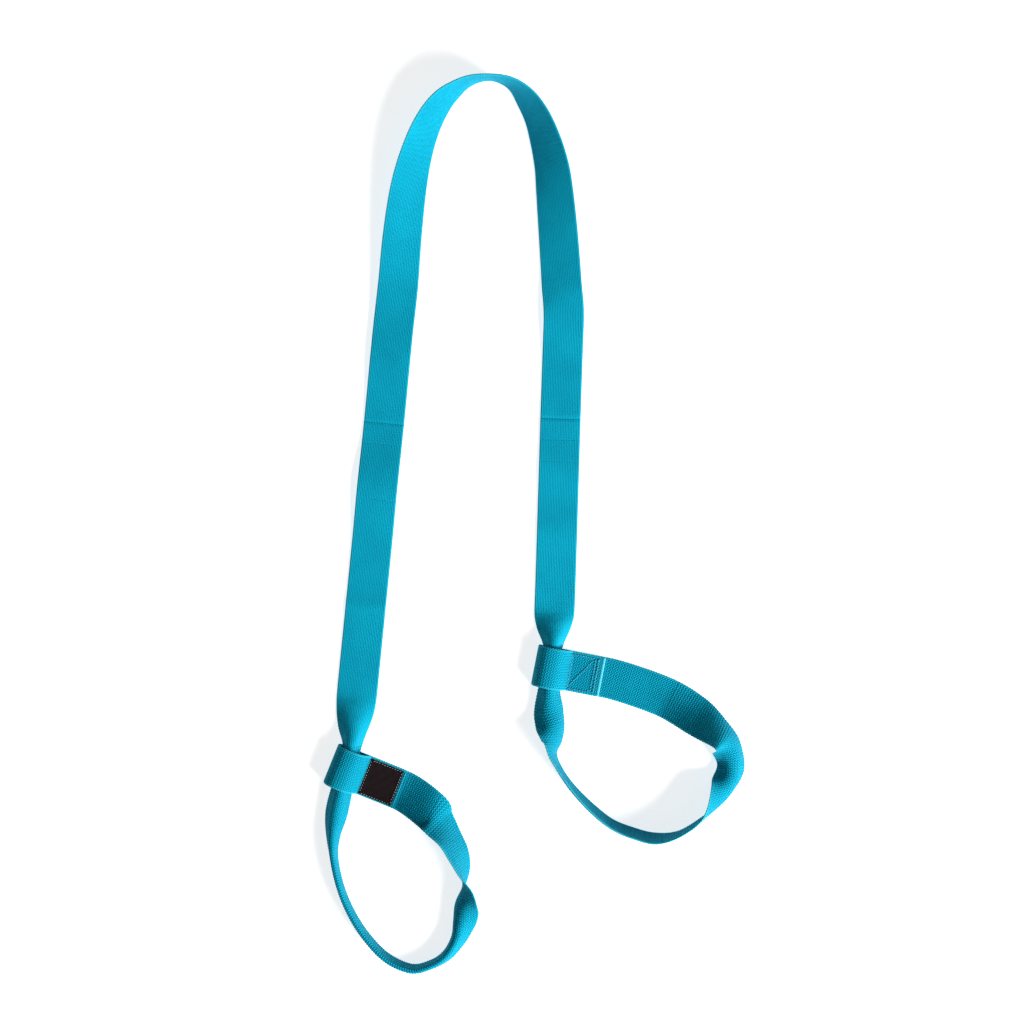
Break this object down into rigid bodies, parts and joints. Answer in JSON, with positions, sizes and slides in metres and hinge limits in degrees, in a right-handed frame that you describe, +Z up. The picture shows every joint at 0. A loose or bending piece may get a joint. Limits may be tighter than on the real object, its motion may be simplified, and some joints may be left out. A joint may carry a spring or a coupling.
{
  "type": "stretching strap",
  "caption": "Long flat woven webbing strap lying in an arch, each end folded and sewn into a small sleeve that its own leg passes through as an adjustable slip loop.",
  "frame": {"origin": "centre of the bounding box's bottom face, on the surface that the strap lies on", "axes": "+Z up from the surface, +Y from the slip loops towards the top of the arch, +X to the right seen from above"},
  "size_m": [0.3949, 0.8392, 0.0383],
  "materials": {
    "webbing": "matte",
    "thread": "satin",
    "label_cloth": "satin",
    "label_thread": "satin"
  },
  "bodies": {
    "arch": {"arch_run": "webbing", "left_upper_run": "webbing", "right_upper_run": "webbing"},
    "left_leg": {"left_lower_run": "webbing", "left_neck_run": "webbing", "left_loop_run": "webbing"},
    "left_keeper": {"left_sleeve": "webbing", "left_band_run": "webbing", "left_stitches": "thread", "label": "label_cloth", "label_stitches": "label_thread"},
    "right_leg": {"right_lower_run": "webbing", "right_neck_run": "webbing", "right_loop_run": "webbing"},
    "right_keeper": {"right_sleeve": "webbing", "right_band_run": "webbing", "right_stitches": "thread"}
  },
  "joints": [
    {"name": "left_fold", "type": "hinge", "parent": "arch", "child": "left_leg", "pos_m": [-0.1414, 0.096, 0.00235], "axis": [-0.995, 0.0995, 0], "range_deg": [0, 150]},
    {"name": "left_slide", "type": "slide", "parent": "left_leg", "child": "left_keeper", "axis": [0.0995, 0.995, 0], "range_m": [-0.04, 0.09], "deforming": ["left_neck_run", "left_loop_run"]},
    {"name": "right_fold", "type": "hinge", "parent": "arch", "child": "right_leg", "pos_m": [0.024, 0.1, 0.00235], "axis": [-0.9995, 0.03, 0], "range_deg": [0, 150]},
    {"name": "right_slide", "type": "slide", "parent": "right_leg", "child": "right_keeper", "axis": [0.03, 0.9995, 0], "range_m": [-0.04, 0.06], "deforming": ["right_neck_run", "right_loop_run"]}
  ]
}
